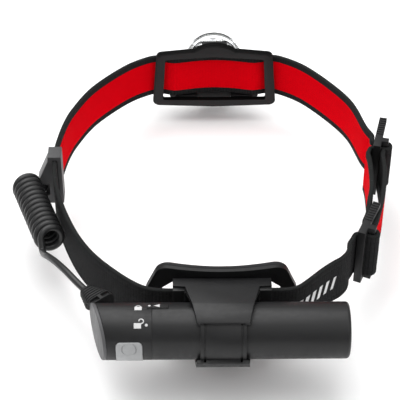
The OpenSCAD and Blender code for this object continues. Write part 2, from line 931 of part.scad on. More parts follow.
// Built along s = +Y, n = +X, from its rear inner corner
module buckle() {
    half = buckle_h / 2;
    ribs = 8;
    rib_from = 9.4;
    rib_step = (buckle_len - rib_from) / ribs;
    difference() {
        union() {
            for (side = [-1, 1]) {
                translate([0, 0, side > 0 ? half - rail_h : -half])
                    cube([buckle_t, buckle_len, rail_h]);
                translate([0, raised_s - 0.6, side > 0 ? half - rail_h : -half])
                    cube([raised_n + raised_t + 0.5, raised_w + 1.2, rail_h]);
            }
            translate([0, 0, -half])
                cube([buckle_t, rear_bar, buckle_h]);
            translate([raised_n, raised_s, -half + 1])
                cube([raised_t, raised_w, buckle_h - 2]);
            translate([0.8, loop_s, -half + 1])
                cube([2, loop_w, buckle_h - 2]);
            translate([0.3, buckle_len - 2, -half + 1])
                cube([1.8, 2, buckle_h - 2]);
        }
        for (side = [-1, 1], i = [0:ribs - 1])
            translate([-1, rib_from + i * rib_step, side > 0 ? half - 0.5 : -half - 0.5])
                cube([buckle_t + 2, 0.8, 1]);
    }
}
module length_slider() {
    color("#2c2c2e")
        translate([slider_at[0], slider_at[1], 0])
            rotate([0, 0, -slider_turn])
                buckle();
}
module ladder_buckle() {
    color("#2c2c2e")
        translate([ladder_at[0], ladder_at[1], 0])
            rotate([0, 0, -ladder_turn])
                buckle();
}

strap_rear_run();
strap_front_run();
front_frame();
lamp_bracket();
bracket_screws();
tilt_pin();
tilt_washers();
lamp_housing();
lamp_rear_cover();
lamp_cover_screws();
led_board();
led_emitter();
focus_ring();
focus_seal();
front_lens();
lamp_gland();
rear_pad_carrier();
rear_pad_cushion();
rear_pad_lining();
cradle();
cradle_screws();
battery_barrel();
barrel_seal();
contact_spring();
battery_cell();
battery_cap();
cap_end_cover();
front_contact();
driver_board();
button_switch();
power_button();
cap_marks();
barrel_mark();
strain_relief();
lead_rear();
lead_coil();
lead_front();
cable_clip();
length_slider();
ladder_buckle();
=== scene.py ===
import math

import bmesh
import bpy
import numpy as np
from mathutils import Matrix, Vector


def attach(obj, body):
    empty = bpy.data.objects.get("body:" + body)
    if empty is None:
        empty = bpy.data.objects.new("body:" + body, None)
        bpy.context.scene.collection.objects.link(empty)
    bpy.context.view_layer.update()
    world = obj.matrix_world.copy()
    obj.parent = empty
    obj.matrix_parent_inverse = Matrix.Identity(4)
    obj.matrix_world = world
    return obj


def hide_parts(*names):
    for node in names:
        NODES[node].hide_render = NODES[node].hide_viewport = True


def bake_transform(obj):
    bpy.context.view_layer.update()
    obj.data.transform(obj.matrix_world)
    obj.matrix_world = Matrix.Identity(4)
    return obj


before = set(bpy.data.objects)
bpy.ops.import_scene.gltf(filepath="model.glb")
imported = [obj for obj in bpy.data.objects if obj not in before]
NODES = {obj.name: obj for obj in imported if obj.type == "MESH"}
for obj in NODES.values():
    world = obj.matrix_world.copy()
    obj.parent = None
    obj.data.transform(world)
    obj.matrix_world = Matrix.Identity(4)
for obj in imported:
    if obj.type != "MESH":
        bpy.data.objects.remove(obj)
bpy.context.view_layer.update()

MM = 0.001

# ---------------------------------------------------------------- camera
ELEVATION, YAW, ROLL = math.radians(41.0), math.radians(0.789), math.radians(-0.193)
DISTANCE = 714.89 * MM
# How far the view's centre is to the left of the origin and below it
SIDE, RISE = 8.604 * MM, 12.848 * MM
# Focal length and sensor width, mm
FOCAL, SENSOR = 129.5802, 36.0
NEAR_CLIP, FAR_CLIP = 0.05, 20


def make_camera():
    se, ce = math.sin(ELEVATION), math.cos(ELEVATION)
    sy, cy = math.sin(YAW), math.cos(YAW)
    sr, cr = math.sin(ROLL), math.cos(ROLL)
    right = Vector((cy, -sy, 0))
    up = Vector((se * sy, se * cy, ce))
    back = Vector((-ce * sy, -ce * cy, se))
    x_axis = cr * right - sr * up
    y_axis = sr * right + cr * up
    place = -SIDE * right - RISE * up + DISTANCE * back
    data = bpy.data.cameras.new("camera")
    data.sensor_width = SENSOR
    data.lens = FOCAL
    data.clip_start, data.clip_end = NEAR_CLIP, FAR_CLIP
    cam = bpy.data.objects.new("camera", data)
    turn = Matrix((x_axis, y_axis, back)).transposed().to_4x4()
    cam.matrix_world = Matrix.Translation(place) @ turn
    bpy.context.scene.collection.objects.link(cam)
    bpy.context.scene.camera = cam


make_camera()

# ---------------------------------------------------------------- materials
# Noise scales, per mm: slow colour change, grain of a moulding tool
BLOTCH, GRAIN = 0.12, 4.5
# Radius of the edges drawn by shading alone, mm
MOULDED_EDGE, METAL_EDGE = 0.35, 0.15


class Nodes:
    """A material's node tree, with short calls for the nodes used here."""

    def __init__(self, name):
        self.material = bpy.data.materials.new(name)
        self.material.use_nodes = True
        self.tree = self.material.node_tree
        self.tree.nodes.clear()
        self.out = self.add("ShaderNodeOutputMaterial")
        self.shader = self.add("ShaderNodeBsdfPrincipled")
        self.link(self.shader.outputs[0], self.out.inputs[0])

    def add(self, kind, inputs=None, **settings):
        node = self.tree.nodes.new(kind)
        for key, value in settings.items():
            setattr(node, key, value)
        for key, value in (inputs or {}).items():
            self.put(node.inputs[key], value)
        return node

    def put(self, socket, value):
        if isinstance(value, bpy.types.NodeSocket):
            self.link(value, socket)
        else:
            socket.default_value = value

    def link(self, a, b):
        self.tree.links.new(a, b)

    def set(self, **inputs):
        for key, value in inputs.items():
            self.put(self.shader.inputs[key.replace("_", " ")], value)

    def stretch(self, vector, factors):
        return self.add("ShaderNodeVectorMath", {0: vector, 1: factors},
                        operation="MULTIPLY").outputs[0]

    def place(self):
        """A point of the piece, in millimetres."""
        coords = self.add("ShaderNodeTexCoord")
        return self.stretch(coords.outputs["Object"], (1000, 1000, 1000))

    def cloth_place(self):
        """Distance along and across a band, in millimetres, from its UV map."""
        uv = self.add("ShaderNodeUVMap", uv_map="band")
        return self.stretch(uv.outputs[0], (1000, 1000, 1000))

    def noise(self, place, scale, detail=2.0, factors=None):
        if factors is not None:
            place = self.stretch(place, factors)
        return self.add("ShaderNodeTexNoise", {"Vector": place, "Scale": scale, "Detail": detail}
                        ).outputs["Fac"]

    def span(self, value, low, high, to_low, to_high):
        return self.add("ShaderNodeMapRange", {"Value": value, "From Min": low, "From Max": high,
                                               "To Min": to_low, "To Max": to_high}).outputs[0]

    def math(self, kind, a, b=0.0):
        return self.add("ShaderNodeMath", {0: a, 1: b}, operation=kind).outputs[0]

    def mix(self, factor, a, b):
        node = self.add("ShaderNodeMix", data_type="RGBA")
        self.put(node.inputs[0], factor)
        for index, value in ((6, a), (7, b)):
            if not isinstance(value, bpy.types.NodeSocket) and len(value) == 3:
                value = (*value, 1)
            self.put(node.inputs[index], value)
        return node.outputs[2]

    def bump(self, height, depth_mm, normal=None):
        inputs = {"Height": height, "Distance": depth_mm * MM, "Strength": 1.0}
        if normal is not None:
            inputs["Normal"] = normal
        return self.add("ShaderNodeBump", inputs).outputs[0]

    def edge(self, radius_mm):
        """(normal with its edges rounded, how near a sharp edge the point is)"""
        bevel = self.add("ShaderNodeBevel", {"Radius": radius_mm * MM}, samples=6)
        geometry = self.add("ShaderNodeNewGeometry")
        dot = self.add("ShaderNodeVectorMath", {0: bevel.outputs[0], 1: geometry.outputs["Normal"]},
                       operation="DOT_PRODUCT").outputs["Value"]
        return bevel.outputs[0], self.span(dot, 0.995, 0.75, 0.0, 1.0)


def scaled(colour, k):
    return tuple(min(1.0, c * k) for c in colour)


def moulded(name, colour, rough=0.46, grain=0.012, wear_and_highlight=0.35, coat=0.0, shine=0.32):
    """Moulded plastic or rubber: fine spark-eroded grain, slight flow marks, and edges lightened in
    patches, partly as rubbed wear and partly as a painted edge highlight.
    """
    n = Nodes(name)
    place = n.place()
    blotch = n.noise(place, BLOTCH, 3.0)
    flow = n.noise(place, 0.5, 2.0, (1, 1, 0.25))
    base = n.mix(n.span(blotch, 0.3, 0.7, 0.0, 1.0), scaled(colour, 0.9), scaled(colour, 1.1))
    fine = n.noise(place, GRAIN, 2.0)
    rounded, near = n.edge(MOULDED_EDGE)
    # Patches near sharp edges lightened towards 2.2 times the colour: partly rubbed wear, partly a
    # painted edge highlight
    scuff_and_highlight = n.math("MULTIPLY", near, n.span(n.noise(place, 1.6, 4.0), 0.42, 0.62, 0.0, 1.0))
    base = n.mix(n.math("MULTIPLY", scuff_and_highlight, wear_and_highlight), base, scaled(colour, 2.2))
    rough_now = n.math("ADD", n.span(flow, 0.3, 0.7, rough - 0.05, rough + 0.06),
                       n.span(fine, 0.3, 0.7, -0.04, 0.04))
    n.set(Base_Color=base, Roughness=rough_now, Coat_Weight=coat, Coat_Roughness=0.25,
          Specular_IOR_Level=shine)
    n.set(Normal=n.bump(fine, grain, rounded))
    return n.material


def satin_with_painted_light(name, face, side, rough=0.5):
    """Moulding whose back (facing -Y) is satin in the face colour, with a painted highlight along
    its rim and painted shade on its sides, which take the darker side colour.
    """
    n = Nodes(name)
    place = n.place()
    geometry = n.add("ShaderNodeNewGeometry")
    facing = n.add("ShaderNodeVectorMath", {0: geometry.outputs["Normal"], 1: (0, -1, 0)},
                   operation="DOT_PRODUCT").outputs["Value"]
    # Painted shade: back marks the faces turned towards -Y; all other faces (sides and top) get the
    # dark side colour instead of the face colour
    back = n.span(facing, 0.35, 0.6, 0.0, 1.0)
    # Painted highlight: a band 2.4 times the face colour where the surface turns from the back face
    # to the sides
    painted_rim_highlight = n.math("MULTIPLY", n.span(facing, 0.5, 0.7, 0.0, 1.0),
                 n.span(facing, 0.8, 0.97, 1.0, 0.0))
    fine = n.noise(place, GRAIN, 2.0)
    blotch = n.noise(place, BLOTCH, 3.0)
    satin = n.mix(n.span(blotch, 0.3, 0.7, 0.0, 1.0), scaled(face, 0.93), scaled(face, 1.07))
    # side is the colour of the painted shade on the faces not turned towards -Y
    base = n.mix(back, side, n.mix(painted_rim_highlight, satin, scaled(face, 2.4)))
    n.set(Base_Color=base, Roughness=n.span(back, 0.0, 1.0, 0.45, rough),
          Specular_IOR_Level=n.span(back, 0.0, 1.0, 0.03, 0.18))
    n.set(Normal=n.bump(fine, 0.012))
    return n.material


def metal(name, colour, rough=0.32):
    """Turned or pressed metal with fine brushing and small dull spots."""
    n = Nodes(name)
    place = n.place()
    brush = n.noise(place, 1.2, 3.0, (1, 6, 6))
    spots = n.noise(place, 0.9, 4.0)
    rounded, near = n.edge(METAL_EDGE)
    base = n.mix(n.span(spots, 0.45, 0.7, 0.0, 0.5), colour, scaled(colour, 0.7))
    base = n.mix(n.math("MULTIPLY", near, 0.4), base, scaled(colour, 1.25))
    n.set(Base_Color=base, Metallic=1.0,
          Roughness=n.span(brush, 0.3, 0.7, rough - 0.08, rough + 0.1))
    n.set(Normal=n.bump(brush, 0.004, rounded))
    return n.material


def weave(name, colour, dark, pitch_along, pitch_across, gap, depth, rough=0.85, sheen=0.3,
          rows_along=True, lint=0.06, mottle=0.07, streak=0.14, shine=0.12):
    """Woven webbing: staggered floats pitch_along by pitch_across mm, dark in the gaps."""
    n = Nodes(name)
    place = n.cloth_place()
    wobble = n.noise(place, 0.35, 2.0)
    if rows_along:
        width, height = pitch_along, pitch_across
        coords = place
    else:
        width, height = pitch_across, pitch_along
        split = n.add("ShaderNodeSeparateXYZ", {0: place})
        coords = n.add("ShaderNodeCombineXYZ", {0: split.outputs[1], 1: split.outputs[0]}
                       ).outputs[0]
    brick = n.add("ShaderNodeTexBrick", {"Vector": coords, "Scale": 1.0, "Mortar Size": gap,
                                         "Mortar Smooth": 1.0, "Bias": 0.0,
                                         "Brick Width": width, "Row Height": height}, offset=0.5)
    gaps = brick.outputs["Fac"]
    yarn = n.noise(place, 2.2, 3.0, (0.25, 3.0, 1.0))
    shade = n.span(yarn, 0.3, 0.7, 1 - streak, 1 + streak)
    body = n.mix(n.span(wobble, 0.35, 0.65, 0.0, 1.0), scaled(colour, 1 - mottle),
                 scaled(colour, 1 + mottle))
    grey = n.add("ShaderNodeCombineXYZ", {0: shade, 1: shade, 2: shade}).outputs[0]
    tinted = n.stretch(body, grey)
    base = n.mix(n.math("MULTIPLY", gaps, 0.85), tinted, dark)
    fuzz = n.noise(n.place(), 1.4, 4.0)
    base = n.mix(n.span(fuzz, 0.62, 0.8, 0.0, lint), base, (0.5, 0.5, 0.5))
    height_map = n.math("ADD", n.math("SUBTRACT", 1.0, gaps), n.math("MULTIPLY", yarn, 0.35))
    n.set(Base_Color=base, Roughness=rough, Sheen_Weight=sheen, Sheen_Roughness=0.5,
          Specular_IOR_Level=shine)
    n.set(Sheen_Tint=(*scaled(colour, 1.6), 1))
    n.set(Normal=n.bump(height_map, depth))
    return n.material


RED = (0.72, 0.0003, 0.006)
BLACK = (0.019, 0.019, 0.020)
webbing_black = weave("webbing_black", BLACK, (0.001, 0.001, 0.001), 1.5, 0.8, 0.22, 0.4,
                      rows_along=False, lint=0.03)
webbing_red = weave("webbing_red", RED, (0.36, 0.0002, 0.003), 3.2, 0.5, 0.06, 0.06, rough=0.9,
                    sheen=0.0, lint=0.0, mottle=0.02, streak=0.07, shine=0.02)
webbing_edge = weave("webbing_edge", (0.018, 0.019, 0.019), (0.008, 0.008, 0.008), 0.9, 0.5, 0.1,
                     0.08, sheen=0.1)
shell_dark = moulded("shell_dark", (0.005, 0.005, 0.0055), shine=0.3)
shell_grey = moulded("shell_grey", (0.008, 0.008, 0.0085), rough=0.42, shine=0.34)
shell_light = moulded("shell_light", (0.085, 0.085, 0.088))
# Front frame: satin back, with painted shade on its sides (colour 0.003) and a painted highlight
# along its rim
frame_satin_painted_light = satin_with_painted_light("frame_satin_painted_light", (0.014, 0.014, 0.0145), (0.003, 0.003, 0.003))
clip_grey = moulded("clip_grey", (0.055, 0.055, 0.057))
grip = moulded("grip", (0.012, 0.012, 0.0125), rough=0.6, grain=0.02)
rubber = moulded("rubber", (0.012, 0.012, 0.0125), rough=0.62, grain=0.015, wear_and_highlight=0.15)
button_grey = moulded("button_grey", (0.34, 0.345, 0.35), rough=0.5, wear_and_highlight=0.1)
sheath = moulded("sheath", (0.012, 0.012, 0.0125), rough=0.38, grain=0.006, wear_and_highlight=0.0, coat=0.15)
seal = moulded("seal", (0.20, 0.06, 0.04), rough=0.5)
foam = moulded("foam", (0.016, 0.016, 0.017), rough=0.9, grain=0.08, wear_and_highlight=0.0)
print_white = moulded("print_white", (0.75, 0.75, 0.75), rough=0.55, wear_and_highlight=0.0)
print_grey = moulded("print_grey", (0.55, 0.55, 0.55), rough=0.55, wear_and_highlight=0.0)
board_white = moulded("board_white", (0.78, 0.78, 0.74), rough=0.4, wear_and_highlight=0.0)
board_green = moulded("board_green", (0.02, 0.16, 0.07), rough=0.3, wear_and_highlight=0.0, coat=0.4)
phosphor = moulded("phosphor", (0.85, 0.6, 0.08), rough=0.35, wear_and_highlight=0.0, coat=0.5)
cell_sleeve = moulded("cell_sleeve", (0.05, 0.22, 0.13), rough=0.3, wear_and_highlight=0.1, coat=0.3)
steel = metal("steel", (0.62, 0.62, 0.63))
gold = metal("gold", (0.83, 0.62, 0.27), 0.25)
lining_red = weave("lining_red", (0.42, 0.004, 0.014), (0.15, 0.002, 0.006), 0.8, 0.8, 0.1, 0.08)


def clear_plastic():
    """Moulded polycarbonate with a faint mist of fine scratches."""
    n = Nodes("clear_plastic")
    place = n.place()
    haze = n.noise(place, 1.1, 4.0)
    n.set(Base_Color=(0.97, 0.985, 1.0, 1), Transmission_Weight=1.0, IOR=1.49,
          Roughness=n.span(haze, 0.4, 0.7, 0.01, 0.07))
    n.set(Normal=n.bump(n.noise(place, 0.25, 2.0), 0.01))
    return n.material


clear = clear_plastic()

MATERIALS = {
    "front_frame": frame_satin_painted_light, "lamp_bracket": shell_dark, "lamp_housing": shell_dark,
    "lamp_rear_cover": shell_dark, "rear_pad_carrier": shell_dark, "battery_cap": shell_grey,
    "cable_clip": clip_grey, "length_slider": shell_dark, "ladder_buckle": shell_dark,
    "lamp_gland": rubber, "battery_barrel": shell_grey, "cradle": shell_grey,
    "cap_end_cover": shell_light, "focus_ring": grip, "button_switch": grip,
    "focus_seal": rubber, "power_button": button_grey, "strain_relief": rubber,
    "barrel_seal": seal, "bracket_screws": steel, "lamp_cover_screws": steel,
    "cradle_screws": steel, "tilt_pin": steel, "tilt_washers": steel, "front_lens": clear,
    "led_board": board_white, "led_emitter": phosphor, "driver_board": board_green,
    "front_contact": gold, "contact_spring": gold, "battery_cell": cell_sleeve,
    "cap_marks": print_grey, "barrel_mark": print_grey,
}
SMOOTH_BELOW = math.radians(32)
MERGE_MM = 0.0005
FLAT_BELOW, BEVEL_ABOVE = math.radians(0.5), math.radians(38)
for node_name, node_material in MATERIALS.items():
    mesh = NODES[node_name].data
    mesh.materials.clear()
    mesh.materials.append(node_material)
    mesh.shade_smooth()
    mesh.set_sharp_from_angle(angle=SMOOTH_BELOW)

# Moulded pieces get real rounded edges: coplanar facets are merged, then every edge
# sharper than the limit is bevelled
EDGE_RADII = {"front_frame": 0.5, "lamp_bracket": 0.3, "lamp_housing": 0.3, "cradle": 0.35,
              "battery_barrel": 0.2, "battery_cap": 0.2, "cap_end_cover": 0.35,
              "cable_clip": 0.5, "length_slider": 0.25, "ladder_buckle": 0.25,
              "strain_relief": 0.15, "power_button": 0.2}
for node_name, radius in EDGE_RADII.items():
    obj = NODES[node_name]
    weld = obj.modifiers.new("weld", "WELD")
    weld.merge_threshold = MERGE_MM * MM
    flat = obj.modifiers.new("flat", "DECIMATE")
    flat.decimate_type = "DISSOLVE"
    flat.angle_limit = FLAT_BELOW
    round_over = obj.modifiers.new("round", "BEVEL")
    round_over.width = radius * MM
    round_over.segments = 3
    round_over.limit_method = "ANGLE"
    round_over.angle_limit = BEVEL_ABOVE
    round_over.use_clamp_overlap = True
    round_over.harden_normals = True

# ---------------------------------------------------------------- shape helpers


def add_piece(name, verts, faces, materials, body="headband", face_materials=None, smooth=True):
    """A mesh object from points in millimetres; rides on body if one is given."""
    mesh = bpy.data.meshes.new(name)
    mesh.from_pydata([tuple(c * MM for c in v) for v in verts], [], faces)
    for m in materials:
        mesh.materials.append(m)
    if face_materials is not None:
        mesh.polygons.foreach_set("material_index", face_materials)
    if smooth:
        mesh.shade_smooth()
    mesh.validate()
    mesh.update()
    obj = bpy.data.objects.new(name, mesh)
    bpy.context.scene.collection.objects.link(obj)
    if body:
        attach(obj, body)
    return obj


def band_uv(obj, uvs):
    """The map that the woven materials read: metres along and across."""
    layer = obj.data.uv_layers.new(name="band")
    layer.data.foreach_set("uv", [c for uv in uvs for c in uv])


def turn_faces_out(obj):
    bm = bmesh.new()
    bm.from_mesh(obj.data)
    bmesh.ops.recalc_face_normals(bm, faces=bm.faces)
    bm.to_mesh(obj.data)
    bm.free()


def spline(points, steps):
    """A Catmull-Rom line through the points, with steps to each stretch."""
    p = [np.array(q, float) for q in points]
    out = []
    for i in range(len(p) - 1):
        a, b, c, d = p[max(i - 1, 0)], p[i], p[i + 1], p[min(i + 2, len(p) - 1)]
        for k in range(steps):
            t = k / steps
            out.append(0.5 * (2 * b + (c - a) * t + (2 * a - 5 * b + 4 * c - d) * t * t
                              + (3 * b - a - 3 * c + d) * t ** 3))
    out.append(p[-1])
    return np.array(out)


def arc(centre, r, a0, a1, n):
    """Points on an arc, from a0 to a1 degrees, in n steps."""
    return [(centre[0] + r * math.cos(math.radians(a0 + (a1 - a0) * i / n)),
             centre[1] + r * math.sin(math.radians(a0 + (a1 - a0) * i / n)))
            for i in range(n + 1)]


def rounded_polygon(points, r, n=6):
    """A closed outline with its corners rounded to r."""
    out = []
    count = len(points)
    for i in range(count):
        before, corner, after = (np.array(points[(i + k) % count], float) for k in (-1, 0, 1))
        u = (before - corner) / np.linalg.norm(before - corner)
        v = (after - corner) / np.linalg.norm(after - corner)
        half = math.acos(max(-1, min(1, float(u @ v)))) / 2
        inward = (u + v) / np.linalg.norm(u + v)
        centre = corner + inward * r / math.sin(half)
        first = corner + u * r / math.tan(half)
        last = corner + v * r / math.tan(half)
        a0 = math.degrees(math.atan2(*(first - centre)[::-1]))
        a1 = math.degrees(math.atan2(*(last - centre)[::-1]))
        sweep_deg = (a1 - a0 + 180) % 360 - 180
        out += arc(centre, r, a0, a0 + sweep_deg, n)
    return out


# ---------------------------------------------------------------- webbing
STRAP_W, STRAP_T = 25.0, 2.2
# Half the height of the red stripe, and where the selvedge begins
STRIPE_HALF, SELVEDGE = 8.95, 11.9
CLIP_X = -79.7
# The routes of both runs, as (x, y) at the middle of the webbing
FRONT_LEFT = [(CLIP_X, 0.01), (CLIP_X, 2), (CLIP_X, 4), (-79, 12), (-76.5, 26), (-72.5, 38.5),
              (-63.5, 56.2), (-48, 74), (-36, 82.4), (-29, 84.1), (-24, 83.1), (-20.8, 82.7),
              (-16, 83.5), (-9, 84.8), (0, 85.4)]
FRONT_RIGHT = [(9, 84.8), (16, 83.5), (20.8, 82.7), (24, 83.1), (29, 84.1), (36, 82.4),
               (48, 73.6), (61.5, 56.4), (69.8, 41.5), (74.6, 23)]
LEFT_REAR = [(CLIP_X, 0), (CLIP_X, -2), (CLIP_X, -4), (-79.2, -12), (-77, -26), (-73, -40),
             (-67.4, -54.4), (-61.5, -65.3), (-55.4, -73.6), (-47.4, -82), (-40.6, -88),
             (-33.5, -92.3), (-24, -93.7), (0, -93.7)]
REAR_RIGHT = [(24, -93.7), (30, -93.5), (34.6, -91.7), (39.4, -87.4), (45.7, -81.1),
              (51.1, -76.5), (54.4, -74.1), (57.3, -70.7), (58.8, -67.2), (59.2, -63.8)]
# Buckles: place of the rear inner corner, and turn in degrees
LADDER = ((62.9, -60.4), 23.5)
SLIDER = ((76.4, 2.6), 14.0)
# On a buckle, (along, out): the middle of the raised bar, and where the other loop is
RAISED = (5.9, 5.6)
LOOP_S = 13.4


def on_buckle(buckle, points):
    """Places given along a buckle and out from the head, as seen from above."""
    (x, y), turn = buckle
    c, s = math.cos(math.radians(turn)), math.sin(math.radians(turn))
    return [(x + along * s + out * c, y + along * c - out * s) for along, out in points]


BEND_R, RAISED_R, BAND_STEPS = 2.25, 2.45, 6
ROUND_BAR = (arc((1.3, 0.6), BEND_R, 270, 360, 3) + [(3.52, 2), (3.46, 3.8)]
             + arc(RAISED, RAISED_R, 180, 0, 6)
             + [(RAISED[0] + RAISED_R, RAISED[1] - 1.4), (RAISED[0] + RAISED_R, RAISED[1] - 2.8)])
rear_line = spline(
    LEFT_REAR + REAR_RIGHT
    + on_buckle(LADDER, [(-1.5, -1.8), (0, -1.72)] + ROUND_BAR + [(8.35, 1.2)]), BAND_STEPS)
front_line = spline(
    FRONT_LEFT + FRONT_RIGHT
    + on_buckle(SLIDER, [(13, -2.1)] + arc((10.6, 0.4), BEND_R, 270, 180, 3)
                + ROUND_BAR[::-1] + [(0, -1.72), (-1.6, -1.9)])
    + [(74.5, -3.6), (74.3, -14), (73.4, -24), (71.4, -33)]
    + on_buckle(LADDER, [(20, -1.1), (16.4, -0.7)] + arc((LOOP_S, 1.8), 2.4, 270, 90, 6)
                + [(17, 4.3)])
    + [(77.4, -33), (79.6, -22), (81, -10.5), (81.2, -3)]
    + on_buckle(SLIDER, [(-0.2, 5), (2.2, 5)]), BAND_STEPS)


def band_normals(line):
    """At each point of a line, the unit vector to its left."""
    ahead = np.roll(line, -1, 0)
    behind = np.roll(line, 1, 0)
    ahead[-1], behind[0] = line[-1], line[0]
    t = ahead - behind
    t /= np.linalg.norm(t, axis=1)[:, None]
    return np.stack([-t[:, 1], t[:, 0]], 1)


def distances(line):
    return np.r_[0, np.cumsum(np.linalg.norm(np.diff(line, axis=0), axis=1))]


def band_section():
    """(out from the middle, height) round the webbing: a fuller woven selvedge at each
    edge, a shallow groove where the red stripe begins, and a slight crown between."""
    h, w = STRAP_T / 2, STRAP_W / 2
    half = [(0, 1.0), (3, 0.995), (6, 0.98), (8.2, 0.96), (8.7, 0.93), (9.0, 0.86), (9.3, 0.93),
            (9.8, 0.98), (11.2, 1.0), (11.8, 0.95), (12.2, 0.78), (12.42, 0.5), (12.5, 0.0)]
    quarter = [(f * h, z * w / 12.5) for z, f in half]
    down = quarter[:0:-1]
    outer = down + [(o, -z) for o, z in quarter]
    inner = [(-o, -z) for o, z in down[1:]] + [(-o, z) for o, z in quarter[:-1]]
    return outer + inner


BLACK_FACE, RED_FACE, EDGE_FACE = 0, 1, 2
SELVEDGE_SHARP = math.radians(50)


def webbing(name, line, red_side):
    """The whole band: red stripe on one side (0 for none), black everywhere else."""
    section = band_section()
    count = len(section)
    normals = band_normals(line)
    lengths = distances(line)
    verts, faces, kinds, uvs = [], [], [], []
    for (x, y), (nx, ny) in zip(line, normals):
        verts += [(x + o * nx, y + o * ny, z) for o, z in section]
    for i in range(len(line) - 1):
        for k in range(count):
            k2 = (k + 1) % count
            a, b = i * count + k, i * count + k2
            faces.append((a, a + count, b + count, b))
            mid_o = (section[k][0] + section[k2][0]) / 2
            mid_z = abs(section[k][1] + section[k2][1]) / 2
            on_red = mid_o * red_side > 0 and mid_z < STRIPE_HALF
            on_edge = mid_z > SELVEDGE
            kinds.append(RED_FACE if on_red else EDGE_FACE if on_edge else BLACK_FACE)
            v, v2 = section[k][1], section[k2][1]
            if on_edge:
                v, v2 = section[k][0] * 1.5 + 20, section[k2][0] * 1.5 + 20
            along = [lengths[i], lengths[i + 1], lengths[i + 1], lengths[i]]
            uvs += [(u * MM, across * MM) for u, across in zip(along, (v, v, v2, v2))]
    last = (len(line) - 1) * count
    faces.append(tuple(range(count)))
    faces.append(tuple(last + k for k in range(count - 1, -1, -1)))
    kinds += [EDGE_FACE, EDGE_FACE]
    for start in (0, last):
        order = range(count) if start == 0 else range(count - 1, -1, -1)
        uvs += [(section[k][0] * MM, section[k][1] * MM) for k in order]
    obj = add_piece(name, verts, faces, [webbing_black, webbing_red, webbing_edge],
                    face_materials=kinds)
    band_uv(obj, uvs)
    turn_faces_out(obj)
    obj.data.set_sharp_from_angle(angle=SELVEDGE_SHARP)
    return obj, float(lengths[-1])


rear_webbing, rear_length = webbing("rear_webbing", rear_line, 0)
front_webbing, front_length = webbing("front_webbing", front_line, -1)
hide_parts("strap_rear_run")
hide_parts("strap_front_run")
print("webbing lengths, mm:", round(rear_length, 1), round(front_length, 1))

# The print: where it starts, its thickness, and the longest straight step along it
PRINT_FROM_X, PRINT_T, PRINT_STEP = 27.0, 0.1, 1.2
# Plain slanted bars: start and end along the band, low and high edge, lean
PRINT_BARS = [(i * 4.6, i * 4.6 + 3.0 - 0.22 * i, -3.4, 3.4, 1.8) for i in range(7)]


def webbing_print(name, line, side, marks, out):
    """Printed bars on one face of the band, out millimetres from its middle."""
    normals = band_normals(line)
    lengths = distances(line)

    def at(s, z, o):
        x, y = np.interp(s, lengths, line[:, 0]), np.interp(s, lengths, line[:, 1])
        nx, ny = np.interp(s, lengths, normals[:, 0]), np.interp(s, lengths, normals[:, 1])
        return (x + side * o * nx, y + side * o * ny, z)

    start = lengths[np.argmax((line[:, 0] > PRINT_FROM_X) & (line[:, 1] < -60))]
    verts, faces = [], []
    for s0, s1, z0, z1, lean in marks:
        s0, s1 = s0 + start, s1 + start
        steps = max(1, int(math.ceil((s1 - s0) / PRINT_STEP)))
        base = len(verts)
        for i in range(steps + 1):
            s = s0 + (s1 - s0) * i / steps
            for o in (out, out - PRINT_T):
                verts += [at(s, z0, o), at(s + lean, z1, o)]
        for i in range(steps):
            a = base + i * 4
            faces += [(a, a + 1, a + 5, a + 4), (a + 2, a + 6, a + 7, a + 3),
                      (a, a + 4, a + 6, a + 2), (a + 1, a + 3, a + 7, a + 5)]
        end = base + steps * 4
        faces += [(base, base + 2, base + 3, base + 1), (end, end + 1, end + 3, end + 2)]
    turn_faces_out(add_piece(name, verts, faces, [print_white], smooth=False))


webbing_print("webbing_print", rear_line, -1, PRINT_BARS, STRAP_T / 2 + 0.05)

# ---------------------------------------------------------------- lead
LEAD_R, COIL_R = 1.6, 7.4
COIL_FAR, COIL_NEAR = np.array((-94.4, -8.4, 2.0)), np.array((-78.8, -51.2, 2.0))
LEAD_REAR = [(-60.6, -91.6, 10), (-65, -86.3, 10.4), (-70, -79.3, 10.2), (-75, -71.4, 8.2),
             (-79.3, -64.2, 5.0), (-81.7, -59.2, 1.9), (-82.8, -55.6, 0.8)]
LEAD_FRONT = [(-88.5, -8.6, -2.6), (-87.5, -7.2, -4.2), (-85.9, -4.6, -4.7),
              (-85.3, -1, -4.5), (-85.3, 5, -4.4), (-83.8, 13, -4), (-81.4, 25, -3.4),
              (-77.2, 37.4, -3), (-67.4, 58.6, -3), (-51, 77.2, -4.4), (-38.4, 86.8, -7),
              (-28.6, 90.8, -12), (-22, 91.5, -16.1), (-15.5, 91.5, -16.1)]
# The coil climbs the outer side first, over the top, and leaves down its inner side
COIL_TURNS, COIL_STEPS, COIL_START_DEG, COIL_LEAN = 12 + 190 / 360, 20, 8.0, 1.3
# Room left at the near end and at both ends together
COIL_INSET, COIL_INSETS = 1.6, 3.4
# How much nearer, and tighter, the first quarter turn starts, where the lead joins
JOIN_NEARER, JOIN_TIGHTER = 2.4, 0.14
LEAD_SIDES, LEAD_STEPS = 14, 3


def coil_line():
    """The middle of the coiled cord, from its near end to its far end."""
    axis = COIL_FAR - COIL_NEAR
    length = np.linalg.norm(axis)
    axis /= length
    out = np.array((-axis[1], axis[0], 0.0))
    if out[0] > 0:
        out = -out
    r = COIL_R - LEAD_R
    steps = int(COIL_TURNS * COIL_STEPS)
    points = []
    for i in range(steps + 1):
        f = i / steps
        turn = math.radians(COIL_START_DEG + 360 * COIL_TURNS * f)
        along = COIL_INSET + (length - COIL_INSETS) * f
        along += COIL_LEAN * math.sin(turn) * (1 - 0.5 * f)
        join = max(0.0, 1 - 4 * f * COIL_TURNS) ** 2
        spoke = math.cos(turn) * out + math.sin(turn) * np.array((0, 0, 1.0))
        points.append(COIL_NEAR + axis * (along - JOIN_NEARER * join)
                      + r * (1 - JOIN_TIGHTER * join) * spoke)
    return points


